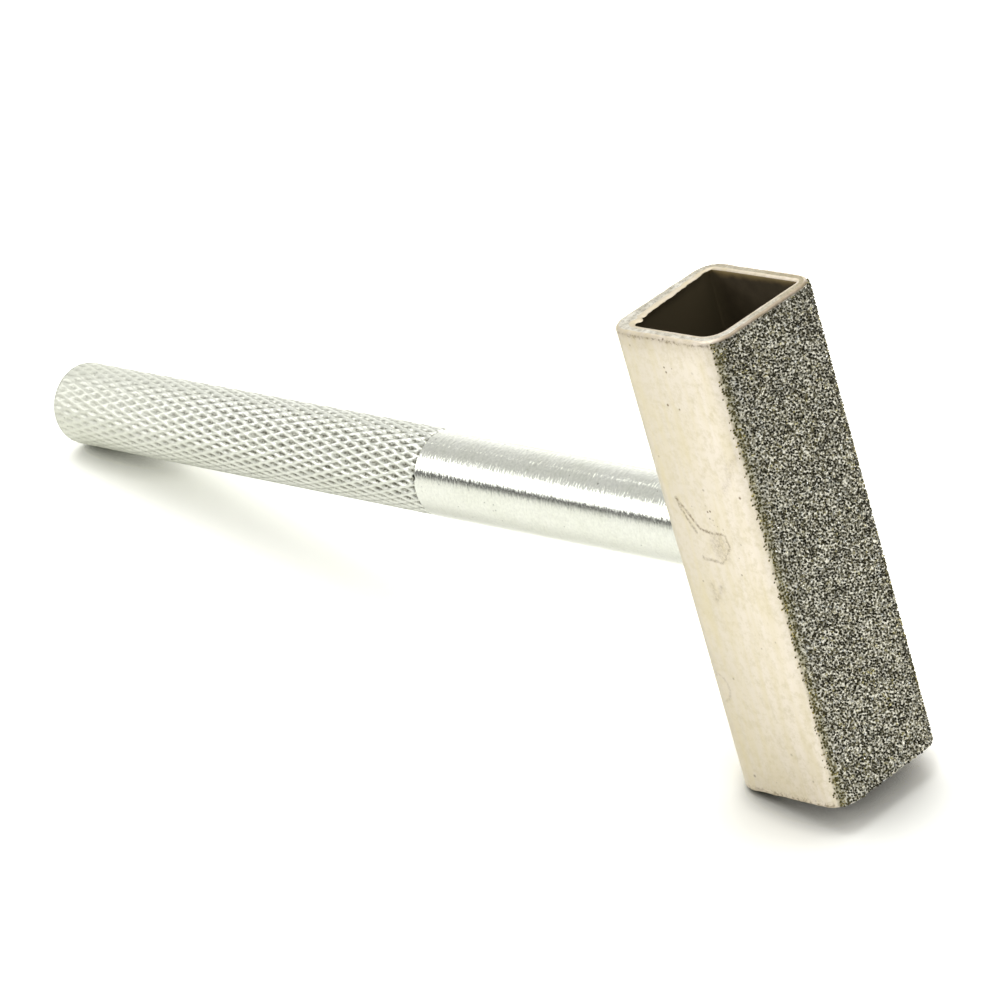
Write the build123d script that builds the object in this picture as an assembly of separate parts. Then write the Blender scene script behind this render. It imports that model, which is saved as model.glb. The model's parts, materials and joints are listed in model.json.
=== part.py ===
"""Hand-held diamond wheel dresser: a square tube faced with diamond grit on a knurled rod.

The tool is modelled with the handle along X and the tube along Z, the origin being the point
where the handle's axis meets the back of the tube. It is then laid down as it comes to rest,
on the lower back edge of the tube and the far end of the handle, with +Z up.
"""
from build123d import *
from math import asin, atan2, cos, degrees, hypot, pi, radians, sin, tan
import os

# Square tube of the head
TUBE_SIDE = 13.0
TUBE_WALL = 1.2
TUBE_CORNER = 2.2
TUBE_LENGTH = 45.0
RIM_ROUND = 0.2
LIP_WIDTH = 0.25
LIP_DEPTH = 0.4

# Electroplated diamond layer over the front wall and round its two corners
GRIT_THICKNESS = 0.3
GRIT_WRAP = 1.6
GRIT_FEATHER = 0.15

# Round handle
ROD_DIAMETER = 8.0
SHANK_LENGTH = 35.5
SHANK_BEVEL = 0.15
GRIP_LENGTH = 52.5
END_ROUND = 0.9

# Diamond knurl on the grip
KNURL_STARTS = 30
KNURL_HELIX = 17.5
KNURL_DEPTH = 0.28
KNURL_RELIEF = 0.03

# Riveted joint between the handle and the back wall of the tube
TENON_DIAMETER = 5.0
TENON_CLEARANCE = 0.05
PEEN_DIAMETER = 7.2
PEEN_RIM = 0.3
PEEN_HEIGHT = 1.0

# Sizes that follow from the ones above
rod_radius = ROD_DIAMETER / 2
handle_length = SHANK_LENGTH + GRIP_LENGTH
crest_radius = rod_radius - KNURL_RELIEF
pit_radius = crest_radius - KNURL_DEPTH
# Length of one diamond along the rod, from its width round the rod and the slope of its ridges
diamond_length = 2 * pi * crest_radius / KNURL_STARTS / tan(radians(KNURL_HELIX))


def polar_point(x: float, radius: float, angle: float) -> Vector:
    """Point at a distance from the handle's axis, at an angle in degrees round it."""
    return Vector(x, radius * cos(radians(angle)), radius * sin(radians(angle)))


def knurled_band(start: float, length: float) -> Solid:
    """Rod with a diamond knurl: crossed helical ridges and a pyramid-shaped pit in each diamond.

    Ridges cross at the crest points. Each row of crests is turned by half a diamond from the
    row before it, so every pit lies between two crests of its own row, with one ahead and one
    behind.
    """
    rows = max(2, round(2 * length / diamond_length))
    half_turn = 180 / KNURL_STARTS

    def lattice_point(row: int, step: int, radius: float) -> Vector:
        return polar_point(start - length * row / rows, radius, step * half_turn)

    def polygon(points: list[Vector]) -> Face:
        return Face(Wire.make_polygon(points, close=True))

    faces = []
    for row in range(rows + 1):
        end_points = []
        # Crests take the even or the odd steps round the rod, and pits take the others
        for step in range(1 - row % 2, 2 * KNURL_STARTS, 2):
            pit = lattice_point(row, step, pit_radius)
            sides = [lattice_point(row, step + side, crest_radius) for side in (-1, 1)]
            for next_row in (row - 1, row + 1):
                if 0 <= next_row <= rows:
                    tip = lattice_point(next_row, step, crest_radius)
                    faces += [polygon([pit, side, tip]) for side in sides]
            end_points += [pit, sides[1]]
        if row in (0, rows):
            faces.append(polygon(end_points))
    return Solid(Shell(faces))


def end_rounding() -> Part:
    """Ring of material turned away to round the far end of the grip."""
    with BuildPart() as ring:
        with BuildSketch(Plane.XY):
            with BuildLine():
                far = -handle_length
                RadiusArc((far, crest_radius - END_ROUND), (far + END_ROUND, crest_radius), END_ROUND)
                Polyline(
                    (far + END_ROUND, crest_radius),
                    (far + END_ROUND, rod_radius + END_ROUND),
                    (far - END_ROUND, rod_radius + END_ROUND),
                    (far - END_ROUND, crest_radius - END_ROUND),
                    (far, crest_radius - END_ROUND),
                )
            make_face()
        revolve(axis=Axis.X)
    return ring.part


def turned_front() -> Part:
    """Smooth shank with the tenon in front of it and the tenon's peened head."""
    tenon_radius = TENON_DIAMETER / 2
    peen_radius = PEEN_DIAMETER / 2
    peen_seat = TUBE_WALL
    dome_height = PEEN_HEIGHT - PEEN_RIM
    dome_radius = (peen_radius**2 + dome_height**2) / (2 * dome_height)
    with BuildPart() as front:
        with BuildSketch(Plane.XY):
            with BuildLine():
                Polyline(
                    (-SHANK_LENGTH, 0),
                    (-SHANK_LENGTH, rod_radius - SHANK_BEVEL),
                    (-SHANK_LENGTH + SHANK_BEVEL, rod_radius),
                    (0, rod_radius),
                    (0, tenon_radius),
                    (peen_seat, tenon_radius),
                    (peen_seat, peen_radius),
                    (peen_seat + PEEN_RIM, peen_radius),
                )
                RadiusArc((peen_seat + PEEN_RIM, peen_radius), (peen_seat + PEEN_HEIGHT, 0), dome_radius)
                Line((peen_seat + PEEN_HEIGHT, 0), (-SHANK_LENGTH, 0))
            make_face()
        revolve(axis=Axis.X)
    return front.part


def make_handle() -> Part:
    """One turned rod: knurled grip with a rounded end, smooth shank, tenon and peened head."""
    grip = knurled_band(-SHANK_LENGTH, GRIP_LENGTH) - end_rounding()
    return turned_front() + grip


def tube_outline(grow: float = 0.0) -> Sketch:
    """Outside of the square tube, seen along its length, grown by a distance all round."""
    side = TUBE_SIDE + 2 * grow
    return Pos(TUBE_SIDE / 2, 0) * RectangleRounded(side, side, TUBE_CORNER + grow)


def make_head_tube() -> Part:
    """Square tube, open at both ends, with deburred rims and the hole for the tenon."""
    tube = extrude(tube_outline(), TUBE_LENGTH / 2, both=True)
    outer_rims = tube.faces().filter_by(Axis.Z).edges()
    tube = fillet(outer_rims, RIM_ROUND)
    bore = extrude(tube_outline(-TUBE_WALL), TUBE_LENGTH / 2 + TUBE_WALL, both=True)
    # The saw burr inside each rim is scraped off, which leaves a narrow sloping lip
    lips = Part()
    for end in (-1, 1):
        rim = Pos(0, 0, end * TUBE_LENGTH / 2) * tube_outline(LIP_WIDTH - TUBE_WALL)
        root = Pos(0, 0, end * (TUBE_LENGTH / 2 - LIP_DEPTH)) * tube_outline(-TUBE_WALL)
        lips += loft([rim, root])
    hole = Pos(TUBE_WALL / 2, 0, 0) * Rot(0, 90, 0) * Cylinder(
        TENON_DIAMETER / 2 + TENON_CLEARANCE, 2 * TUBE_WALL
    )
    return tube - bore - lips - hole


def make_diamond_layer() -> Part:
    """Thin skin of plated grit on the front wall, which ends part way round both corners."""
    reach = TUBE_SIDE + GRIT_THICKNESS
    skin = extrude(tube_outline(GRIT_THICKNESS) - tube_outline(), TUBE_LENGTH / 2 - RIM_ROUND, both=True)
    front = Pos(reach, 0, 0) * Box(2 * (GRIT_WRAP + GRIT_THICKNESS), 2 * reach, 2 * TUBE_LENGTH)
    skin &= front
    back_edges = skin.edges().filter_by(Axis.Z).group_by(Axis.X)[0].sort_by(Axis.Y)
    return chamfer([back_edges[0], back_edges[-1]], GRIT_FEATHER)


def rest_angle() -> float:
    """Angle in degrees between the handle and the surface that the tool lies on."""
    along = handle_length - END_ROUND + RIM_ROUND
    across = TUBE_LENGTH / 2 - RIM_ROUND - crest_radius + END_ROUND
    return degrees(atan2(across, along) + asin((RIM_ROUND - END_ROUND) / hypot(along, across)))


def main() -> None:
    """Build the pieces, lay the tool down and write one file for each piece."""
    pieces = {
        "handle": make_handle(),
        "head_tube": make_head_tube(),
        "diamond_layer": make_diamond_layer(),
    }
    laid = {name: Rot(0, -rest_angle(), 0) * piece for name, piece in pieces.items()}
    box = Compound(list(laid.values())).bounding_box()
    to_origin = Pos(-box.center().X, -box.center().Y, -box.min.Z)
    os.makedirs("parts", exist_ok=True)
    for name, piece in laid.items():
        export_step(to_origin * piece, f"parts/{name}.step")
    print(f"rest angle {rest_angle():.3f} degrees, moved by {to_origin.position}")


main()
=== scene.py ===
"""Hand-held diamond wheel dresser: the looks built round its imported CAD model.

The tool is a short square tube, nickel plated and faced with diamond grit, riveted like a
hammer head on a round zinc plated handle with a diamond knurl. Each piece is made in the tool's
own frame, in millimetres: the handle lies along X, the tube along Z, and the origin is where the
handle's axis meets the back of the tube. The mesh is then laid down in the row frame, in metres.
"""
import json
import logging
from collections.abc import Callable
from dataclasses import dataclass
from enum import Enum
from functools import partial, reduce
from math import acos, asin, atan2, cos, hypot, pi, radians, sin, sqrt, tan

import bmesh
import bpy
from mathutils import Matrix, Vector
from mathutils.noise import noise


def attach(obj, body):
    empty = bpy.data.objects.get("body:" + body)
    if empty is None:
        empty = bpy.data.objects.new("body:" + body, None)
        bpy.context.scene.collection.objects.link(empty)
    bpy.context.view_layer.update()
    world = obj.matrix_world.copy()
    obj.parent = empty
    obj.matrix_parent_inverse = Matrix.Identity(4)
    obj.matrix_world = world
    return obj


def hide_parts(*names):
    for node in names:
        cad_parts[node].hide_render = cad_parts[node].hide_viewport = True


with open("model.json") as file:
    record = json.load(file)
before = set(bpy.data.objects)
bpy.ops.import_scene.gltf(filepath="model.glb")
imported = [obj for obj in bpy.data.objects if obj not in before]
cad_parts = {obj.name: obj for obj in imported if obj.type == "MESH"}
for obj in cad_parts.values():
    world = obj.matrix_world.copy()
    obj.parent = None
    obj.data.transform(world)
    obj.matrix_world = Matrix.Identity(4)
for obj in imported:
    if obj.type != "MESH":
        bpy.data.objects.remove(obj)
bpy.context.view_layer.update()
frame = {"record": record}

BODY = "root"
MM = 0.001
report = logging.getLogger("dresser")

# Blender's names of the nodes that are used most
MATH = "ShaderNodeMath"
VECTOR = "ShaderNodeVectorMath"
RANGE = "ShaderNodeMapRange"
MIX = "ShaderNodeMix"
NOISE = "ShaderNodeTexNoise"
CELLS = "ShaderNodeTexVoronoi"
BUMP = "ShaderNodeBump"
SPLIT = "ShaderNodeSeparateXYZ"
JOIN = "ShaderNodeCombineXYZ"
RANDOM = "FunctionNodeRandomValue"
NAMED = "GeometryNodeInputNamedAttribute"
STORE = "GeometryNodeStoreNamedAttribute"
MOVE = "GeometryNodeSetPosition"
SMOOTH = "GeometryNodeSetShadeSmooth"
DRESS = "GeometryNodeSetMaterial"

# Kinds of input of a Geometry Nodes tree, by the type of their value
SOCKET_TYPES = {int: "NodeSocketInt", float: "NodeSocketFloat", bpy.types.Material: "NodeSocketMaterial"}


def linear_colour(hex_code: str) -> tuple[float, float, float, float]:
    """Turn an sRGB hex colour into the linear colour that a shader takes.

    Args:
        hex_code: Six hex digits, two each for red, green and blue.

    Returns:
        Linear red, green and blue, with an alpha of 1.
    """
    channels = [int(hex_code[i:i + 2], 16) / 255 for i in (0, 2, 4)]
    red, green, blue = (c / 12.92 if c <= 0.04045 else ((c + 0.055) / 1.055) ** 2.4 for c in channels)
    return red, green, blue, 1.0


def smooth_step(low: float, high: float, value: float) -> float:
    """Rise smoothly from 0 at low to 1 at high.

    Args:
        low: Value where the rise starts.
        high: Value where it ends.
        value: Value to place between the two.

    Returns:
        A share from 0 to 1.
    """
    share = min(1.0, max(0.0, (value - low) / (high - low)))
    return share * share * (3 - 2 * share)


def add_node(tree: bpy.types.NodeTree, kind: str, *values: object, **settings: object) -> bpy.types.Node:
    """Add a node to a tree, with its settings, input values and links.

    Args:
        tree: The tree that the node goes into.
        kind: The node's type, as Blender names it.
        values: Values for its enabled sockets, in Blender's order, and dictionaries of values by
            the socket's name. A socket, a node or a list of them is linked, and of a node the
            first enabled output is taken. Text in a colour socket is an sRGB hex colour.
        settings: The node's own properties.

    Returns:
        The new node.
    """
    node = tree.nodes.new(kind)
    for name, value in settings.items():
        setattr(node, name, value)
    enabled = [socket for socket in node.inputs if socket.enabled]
    wanted = []
    for socket, value in zip(enabled, values):
        if isinstance(value, dict):
            wanted += [(next(s for s in enabled if s.name == name), v) for name, v in value.items()]
        else:
            wanted.append((socket, value))
    for socket, given in wanted:
        for value in given if isinstance(given, list) else [given]:
            if isinstance(value, bpy.types.Node):
                value = next(s for s in value.outputs if s.enabled)
            if isinstance(value, bpy.types.NodeSocket):
                tree.links.new(value, socket)
            elif isinstance(value, str) and socket.type == "RGBA":
                socket.default_value = linear_colour(value)
            else:
                socket.default_value = value
    return node


def clear_tree(owner: bpy.types.ID) -> partial:
    """Give a material or a world an empty tree.

    Args:
        owner: The material or world.

    Returns:
        add_node for its tree.
    """
    owner.use_nodes = True
    owner.node_tree.nodes.clear()
    return partial(add_node, owner.node_tree)


def patches(node: partial, point: bpy.types.Node, grain: tuple[float, ...], *span: float) -> bpy.types.Node:
    """Add uneven patches: noise, with a part of its range spread over another range.

    Args:
        node: add_node for the tree.
        point: Node that gives the place.
        grain: The noise's scale in waves per millimetre, its detail and, where it isn't a half,
            its roughness.
        span: Low and high end of the part, and then of the new range where it isn't 0 to 1.

    Returns:
        The node that gives the spread value.
    """
    return node(RANGE, node(NOISE, point, *grain), *span)


def paint(node: partial, ground: object, *layers: tuple[object, object]) -> bpy.types.Node:
    """Add colours over a ground, one after another.

    Args:
        node: add_node for the tree.
        ground: The first colour.
        layers: Cover from 0 to 1 and colour of each layer.

    Returns:
        The node that gives the last colour.
    """
    for cover, colour in layers:
        ground = node(MIX, cover, ground, colour, data_type="RGBA")
    return ground


def set_stops(ramp: bpy.types.Node, *stops: tuple[float, str]) -> bpy.types.Node:
    """Give a colour ramp its stops.

    Args:
        ramp: The ramp's node.
        stops: Position from 0 to 1 and sRGB hex colour of each stop, in order.

    Returns:
        The same node.
    """
    elements = ramp.color_ramp.elements
    while len(elements) < len(stops):
        elements.new(1.0)
    for element, (position, hex_code) in zip(elements, stops):
        element.position = position
        element.color = linear_colour(hex_code)
    return ramp


@dataclass(frozen=True)
class ToolFrame:
    """Where the tool's own frame lies in the row frame.

    Attributes:
        forward: Unit vector along the handle, from its far end to the head.
        origin: Point in metres where the handle's axis meets the back of the tube.
    """

    forward: Vector
    origin: Vector

    @classmethod
    def from_record(cls, record: dict, face_distance: float) -> "ToolFrame":
        """Read the frame from the mount on the working face.

        Args:
            record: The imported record.
            face_distance: Distance in millimetres from the tool's origin to the working face.

        Returns:
            The tool's frame.
        """
        face = next(m for m in record["mounts"] if m["name"] == "working_face")
        forward = Vector(face["axis"]).normalized()
        return cls(forward, Vector(face["pos_m"]) - forward * face_distance * MM)

    @property
    def tilt(self) -> float:
        """Angle in radians by which the handle rises towards the head."""
        return atan2(self.forward.z, self.forward.x)

    def matrix(self) -> Matrix:
        """Matrix from tool millimetres to row metres."""
        turned = Matrix.Rotation(-self.tilt, 4, "Y")
        return Matrix.Translation(self.origin) @ turned @ Matrix.Scale(MM, 4)

    def coordinates(self, node: partial) -> bpy.types.Node:
        """Add nodes that give a point of the surface in tool millimetres.

        Args:
            node: add_node for the material's tree.

        Returns:
            The Mapping node that turns Object coordinates into tool millimetres.
        """
        row = node("ShaderNodeTexCoord").outputs["Object"]
        shift = Matrix.Rotation(self.tilt, 3, "Y") @ self.origin / -MM
        return node("ShaderNodeMapping", row, shift, (0, self.tilt, 0), (1 / MM, 1 / MM, 1 / MM))

    def lay(self, name: str, data: bpy.types.Mesh) -> bpy.types.Object:
        """Lay a mesh down in the row frame, as an object.

        Args:
            name: The piece's name.
            data: Its mesh in tool millimetres.

        Returns:
            The new object.
        """
        data.transform(self.matrix())
        return place(name, data)


@dataclass(frozen=True)
class Finish:
    """A material finish of the tool.

    Attributes:
        tool: The tool's frame, which the patterns are laid out in.
    """

    tool: ToolFrame
    title = "Plain metal"

    def material(self) -> bpy.types.Material:
        """Build the material.

        Returns:
            The new material.
        """
        made = bpy.data.materials.new(self.title)
        node = clear_tree(made)
        sockets = self.shade(node, self.tool.coordinates(node))
        node("ShaderNodeOutputMaterial", node("ShaderNodeBsdfPrincipled", sockets))
        return made

    def shade(self, node: partial, point: bpy.types.Node) -> dict[str, object]:
        """Add the patterns.

        Args:
            node: add_node for the material's tree.
            point: Node that gives the point in tool millimetres.

        Returns:
            What goes into each socket of the Principled shader, by name.
        """
        raise NotImplementedError


@dataclass(frozen=True)
class ZincPlating(Finish):
    """Bright zinc plating over turned and knurled steel.

    It is almost white, so the soft boxes show in it as hard-edged stripes. The tool marks below
    the plating run round the rod and break the edges of those stripes into short teeth.

    Attributes:
        mark_pitch: Usual distance in millimetres between two turning marks. Real ones are finer,
            and these are as coarse as they need to be to show.
        mark_length: Usual length of a mark in millimetres round the rod.
        mark_height: Height of the marks in millimetres.
        pit_spacing: Usual distance in millimetres between two specks.
        pit_floor: Radius in millimetres at the bottom of the knurl's pits.
        crest: Radius in millimetres at the top of its ridges.
        plating_grain: Usual width in millimetres of the plating's grain.
        grip_start: Place along the tool where the knurl starts.
        grip_end: Place where it ends.
        pit_fade: Length in millimetres over which the pits grow lighter towards the far end.
        haze_fade: Length of the far part of the grip that is hazy.
        notch: Place of a small notch beside the start of the knurl, which is drawn as a painted shadow.
        notch_size: Radius in millimetres of that painted shadow, and with its soft edge.
    """

    mark_pitch: float = 0.26
    mark_length: float = 0.8
    mark_height: float = 0.022
    pit_spacing: float = 0.62
    pit_floor: float = 3.70
    crest: float = 3.97
    plating_grain: float = 0.24
    grip_start: float = -35.5
    grip_end: float = -88.0
    pit_fade: float = 24.0
    haze_fade: float = 26.0
    notch: tuple[float, float, float] = (-35.38, -3.70, 1.42)
    notch_size: tuple[float, float] = (0.2, 0.34)
    title = "Bright zinc plating on turned steel"

    def shade(self, node: partial, point: bpy.types.Node) -> dict[str, object]:
        """Shade turning marks, specks and the duller pits of the knurl, partly darkened by painted shade.

        Args:
            node: add_node for the material's tree.
            point: Node that gives the point in tool millimetres.

        Returns:
            What goes into each socket of the Principled shader, by name.
        """
        x = node(SPLIT, point).outputs["X"]
        across = node(VECTOR, point, (0, 1, 1), operation="MULTIPLY")
        radius = node(VECTOR, across, operation="LENGTH")
        # Along the shank the marks follow X, and on the end face they follow the radius
        along = node(MATH, x, radius, operation="ADD")
        direction = node(VECTOR, across, operation="NORMALIZE")
        round_rod = node(VECTOR, direction, self.crest / self.mark_length, operation="SCALE")
        steps = node(JOIN, node(MATH, along, 1 / self.mark_pitch, operation="MULTIPLY"))
        marks = node(NOISE, node(VECTOR, round_rod, steps, operation="ADD"), 1.0, 2.0, 0.6)
        # Small specks where the plating has pitted
        cells = node(CELLS, point, 1 / self.pit_spacing, feature="F1")
        reach = patches(node, point, (1.3, 2.0), 0.42, 0.70, 0.0, 0.16)
        specks = node(RANGE, node(MATH, cells, reach, operation="SUBTRACT"), -0.02, 0.02, 0.55, 0.0)
        # One small notch where the knurl ends is painted as a dark spot, a painted shadow with no dent in
        # the mesh
        from_nick = node(VECTOR, point, self.notch, operation="DISTANCE")
        notch_shadow = node(RANGE, from_nick, *self.notch_size, 1.0, 0.0)
        # The pits of the knurl are painted darker, partly greasy dirt and a matt passivation, partly painted
        # shade in the hollows, less of it towards the far end
        floor, top = self.pit_floor + 0.04, self.crest - 0.03
        deep = node(RANGE, radius, floor, top, 1.0, 0.0, interpolation_type="SMOOTHSTEP")
        lint = node(NOISE, point, 5.0, 2.0)
        uneven = node(RANGE, lint, 0.3, 0.6, 0.45, 1.0)
        lasting = node(RANGE, x, self.grip_end, self.grip_end + self.pit_fade, 0.5, 1.0)
        on_grip = node(MATH, x, self.grip_start - 0.02, operation="LESS_THAN")
        pit_grease_and_shade = reduce(partial(node, MATH, operation="MULTIPLY"), (deep, lasting, uneven, on_grip))
        pit_grease_and_shade_colour = paint(node, "8A8977", (node(RANGE, lint, 0.42, 0.58), "525143"))
        # A thin film lies in the turning marks of the shank and over the far part of the grip
        far = node(RANGE, x, self.grip_end, self.grip_end + self.haze_fade, 0.42, 0.0)
        haze = node(MATH, far, uneven, operation="MULTIPLY")
        film = node(MATH, node(RANGE, marks, 0.52, 0.75, 0.0, 0.22), haze, operation="MAXIMUM")
        colour = paint(
            node, "F1F2EB", (node(NOISE, point, 0.35, 4.0), "E5E7DA"), (film, "C6C7B4"), (pit_grease_and_shade, pit_grease_and_shade_colour),
            (specks, "5E5C50"), (notch_shadow, "23221B"),
        )
        # The shank's plating has a fine grain, a few tenths of a millimetre across
        grain = patches(node, point, (1 / self.plating_grain, 1.0), 0.25, 0.75, 0.94, 1.07)
        light = node(MIX, on_grip, grain, 1.0)
        rolled = node(MATH, on_grip, 0.18, 0.13, operation="MULTIPLY_ADD")
        rubbed = node(MATH, far, 0.28, rolled, operation="MULTIPLY_ADD")
        off_grip = node(MATH, 1.0, on_grip, operation="SUBTRACT")
        relief = node(MATH, marks, off_grip, operation="MULTIPLY")
        return {
            "Base Color": node(VECTOR, colour, light, operation="SCALE"), "Metallic": 1.0,
            "Roughness": node(MATH, pit_grease_and_shade, 0.10, rubbed, operation="MULTIPLY_ADD"),
            "Normal": node(BUMP, {"Height": relief, "Distance": self.mark_height * MM}),
        }


@dataclass(frozen=True)
class NickelPlating(Finish):
    """Warm satin nickel plating over drawn steel tube.

    Nickel reflects a little less blue than other metals do, so it looks cream under white light.
    The steel below it was not polished, which makes the reflection soft, with small pits in it.

    Places on the near side are given as distance along the tool and height, in millimetres.

    Attributes:
        pit_spacing: Usual distance in millimetres between two of the small pits all over it.
        grain_width: Width in millimetres of the steel's surface grain below the plating.
        relief_height: Height in millimetres of that grain, as the plating shows it.
        near_side: Place across the tool of the side that carries the marks.
        rim_height: Height at which the sides end in the sawn rims.
        pits: Place, radius and strength of the larger pits on the near side.
        lines: Lines on the near side, each with its strength and half width: a scratch that
            forks, the edge of a dried drop, two smears, and part of a ring.
        stain: Place and radii of the dried drop.
    """

    pit_spacing: float = 1.9
    grain_width: float = 0.5
    relief_height: float = 0.012
    near_side: float = -6.5
    rim_height: float = 22.5
    pits: tuple[tuple[float, float, float, float], ...] = (
        (6.14, 19.59, 0.08, 0.8), (6.24, 19.15, 0.09, 0.8), (7.04, 19.58, 0.06, 0.5),
        (9.42, 19.44, 0.12, 0.2), (5.28, 15.92, 0.10, 0.85), (6.60, 15.68, 0.08, 0.75),
        (2.63, 21.21, 0.09, 0.45), (2.27, 10.61, 0.09, 0.3), (6.69, 8.01, 0.10, 0.4),
        (6.81, 5.99, 0.09, 0.85), (11.0, 7.89, 0.11, 0.85), (6.67, 2.63, 0.08, 0.5),
        (7.80, 3.20, 0.08, 0.5), (8.58, 0.13, 0.08, 0.6), (3.44, -1.28, 0.08, 0.45),
        (5.53, -1.54, 0.16, 0.3), (4.46, -2.90, 0.14, 0.3), (1.60, -10.89, 0.10, 0.6),
        (3.74, -10.86, 0.10, 0.4), (8.44, -7.06, 0.08, 0.35), (10.41, -6.11, 0.09, 0.3),
        (8.43, -17.56, 0.12, 0.3), (2.91, -20.74, 0.12, 0.55), (10.27, -19.87, 0.10, 0.35),
        (6.89, 22.35, 0.12, 0.95), (7.35, 22.1, 0.10, 0.6), (6.48, 5.89, 0.09, 0.8),
        (6.52, 5.25, 0.07, 0.6), (4.68, 6.16, 0.06, 0.35), (7.23, 4.6, 0.06, 0.4),
        (8.82, 1.8, 0.06, 0.4), (6.75, 7.99, 0.07, 0.45), (6.40, 6.47, 0.05, 0.4),
        (6.87, 5.14, 0.06, 0.45), (6.83, 4.65, 0.05, 0.4), (7.81, 4.37, 0.06, 0.4),
        (9.52, 3.2, 0.07, 0.4),
    )
    lines: tuple[tuple[float, float, tuple[tuple[float, float], ...]], ...] = (
        (0.78, 0.22, (
            (2.97, 6.75), (3.77, 5.67), (4.49, 4.66), (4.95, 4.05), (5.81, 3.83), (6.53, 3.76), (7.31, 3.86),
        )),
        (0.62, 0.22, ((2.97, 6.75), (3.31, 5.60), (3.81, 4.55), (4.40, 3.60))),
        (0.52, 0.22, (
            (7.31, 3.86), (7.83, 3.75), (8.01, 2.80), (7.76, 2.25), (7.10, 1.50), (6.50, 0.97), (5.17, 1.09),
            (4.61, 1.02), (4.35, 1.26),
        )),
        (0.20, 0.55, ((12.3, 12.48), (11.65, 11.5), (10.39, 10.57), (10.58, 9.96), (9.36, 8.38))),
        (0.22, 0.5, ((4.45, -1.41), (4.56, -3.05), (5.66, -1.44))),
        (0.26, 0.2, (
            (1.60, -10.62), (2.34, -10.88), (2.81, -11.44), (2.91, -12.19), (2.62, -12.96), (1.95, -13.48),
        )),
    )
    stain: tuple[float, float, float, float] = (6.8, 2.55, 1.3, 1.75)
    title = "Satin nickel plating on drawn steel"

    def line(
        self, node: partial, flat: bpy.types.Node, stops: tuple[tuple[float, float], ...]
    ) -> bpy.types.Node:
        """Add nodes that give the distance from a line with corners.

        Args:
            node: add_node for the material's tree.
            flat: Node that gives the point on the side, with nothing across the tool.
            stops: The line's points, as distance along the tool and height.

        Returns:
            Node that gives the distance in millimetres.
        """
        gaps = []
        for (x0, z0), (x1, z1) in zip(stops, stops[1:]):
            way = Vector((x1 - x0, 0, z1 - z0))
            from_start = node(VECTOR, flat, (x0, 0, z0), operation="SUBTRACT")
            share = node(VECTOR, from_start, way / way.length_squared, operation="DOT_PRODUCT")
            held = node(MATH, share, 0.0, operation="ADD", use_clamp=True)
            foot = node(VECTOR, way, held, operation="SCALE")
            gaps.append(node(VECTOR, from_start, foot, operation="DISTANCE"))
        return reduce(partial(node, MATH, operation="MINIMUM"), gaps)

    def near_marks(self, node: partial, point: bpy.types.Node) -> bpy.types.Node:
        """Add nodes that draw the pits and lines of the near side.

        Args:
            node: add_node for the material's tree.
            point: Node that gives the point in tool millimetres.

        Returns:
            Node that gives how dark the marks are, from 0 to 1.
        """
        marks = []
        for x, z, size, strength in self.pits:
            gap = node(VECTOR, point, (x, self.near_side, z), operation="DISTANCE")
            marks.append(node(RANGE, gap, 0.5 * size, 1.6 * size, strength, 0.0))
        # A dried mark wanders, is broken and has an uneven width
        wander = node(VECTOR, node(NOISE, point, 2.5, 1.0).outputs["Color"], 0.25, operation="SCALE")
        shaken = node(VECTOR, point, wander, operation="ADD")
        flat = node(VECTOR, shaken, (1, 0, 1), operation="MULTIPLY")
        centred = node(VECTOR, flat, (-0.12, 0, -0.12), operation="ADD")
        near = node(MATH, node(SPLIT, point).outputs["Y"], self.near_side + 0.3, operation="LESS_THAN")
        ink = patches(node, point, (4.5, 2.0, 0.7), 0.38, 0.62, 0.25, 1.0)
        for strength, reach, stops in self.lines:
            drawn = node(RANGE, self.line(node, centred, stops), 0.1 * reach, reach, strength, 0.0)
            marks.append(reduce(partial(node, MATH, operation="MULTIPLY"), (drawn, ink, near)))
        x, z, wide, high = self.stain
        from_middle = node(VECTOR, point, (x, self.near_side, z), operation="SUBTRACT")
        inside = node(VECTOR, from_middle, (1 / wide, 1, 1 / high), operation="MULTIPLY")
        film = node(RANGE, node(VECTOR, inside, operation="LENGTH"), 0.6, 1.0, 0.26, 0.0)
        marks.append(node(MATH, film, ink, operation="MULTIPLY"))
        return reduce(partial(node, MATH, operation="MAXIMUM"), marks)

    def shade(self, node: partial, point: bpy.types.Node) -> dict[str, object]:
        """Shade clouds, painted light towards the front, pits, a scratch and dried water marks.

        Args:
            node: add_node for the material's tree.
            point: Node that gives the point in tool millimetres.

        Returns:
            What goes into each socket of the Principled shader, by name.
        """
        x, _, z = node(SPLIT, point).outputs
        top = self.rim_height
        # The side is painted lighter towards the front, as painted light, with clouds a few millimetres wide
        # in its own tone
        cloud = node(NOISE, point, 0.22, 5.0, 0.6)
        clouds_and_painted_light = node(MATH, cloud, 6.0, x, operation="MULTIPLY_ADD")
        # Fine mottling, a few tenths of a millimetre across
        mottle = patches(node, point, (1.6, 3.0, 0.7), 0.45, 0.75, 0.0, 0.6)
        # Faint yellow streaks along the tube, as it was drawn
        drawn_way = node("ShaderNodeMapping", point, {"Scale": (1.1, 1.1, 0.14)})
        streaks = patches(node, drawn_way, (1.0, 3.0), 0.42, 0.72, 0.0, 0.5)
        cells = node(CELLS, point, 1 / self.pit_spacing, feature="F1")
        reach = node(RANGE, cells.outputs["Color"], 0.3, 1.0, 0.0, 0.055)
        specks = node(RANGE, node(MATH, cells, reach, operation="SUBTRACT"), -0.012, 0.012, 0.4, 0.0)
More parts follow.
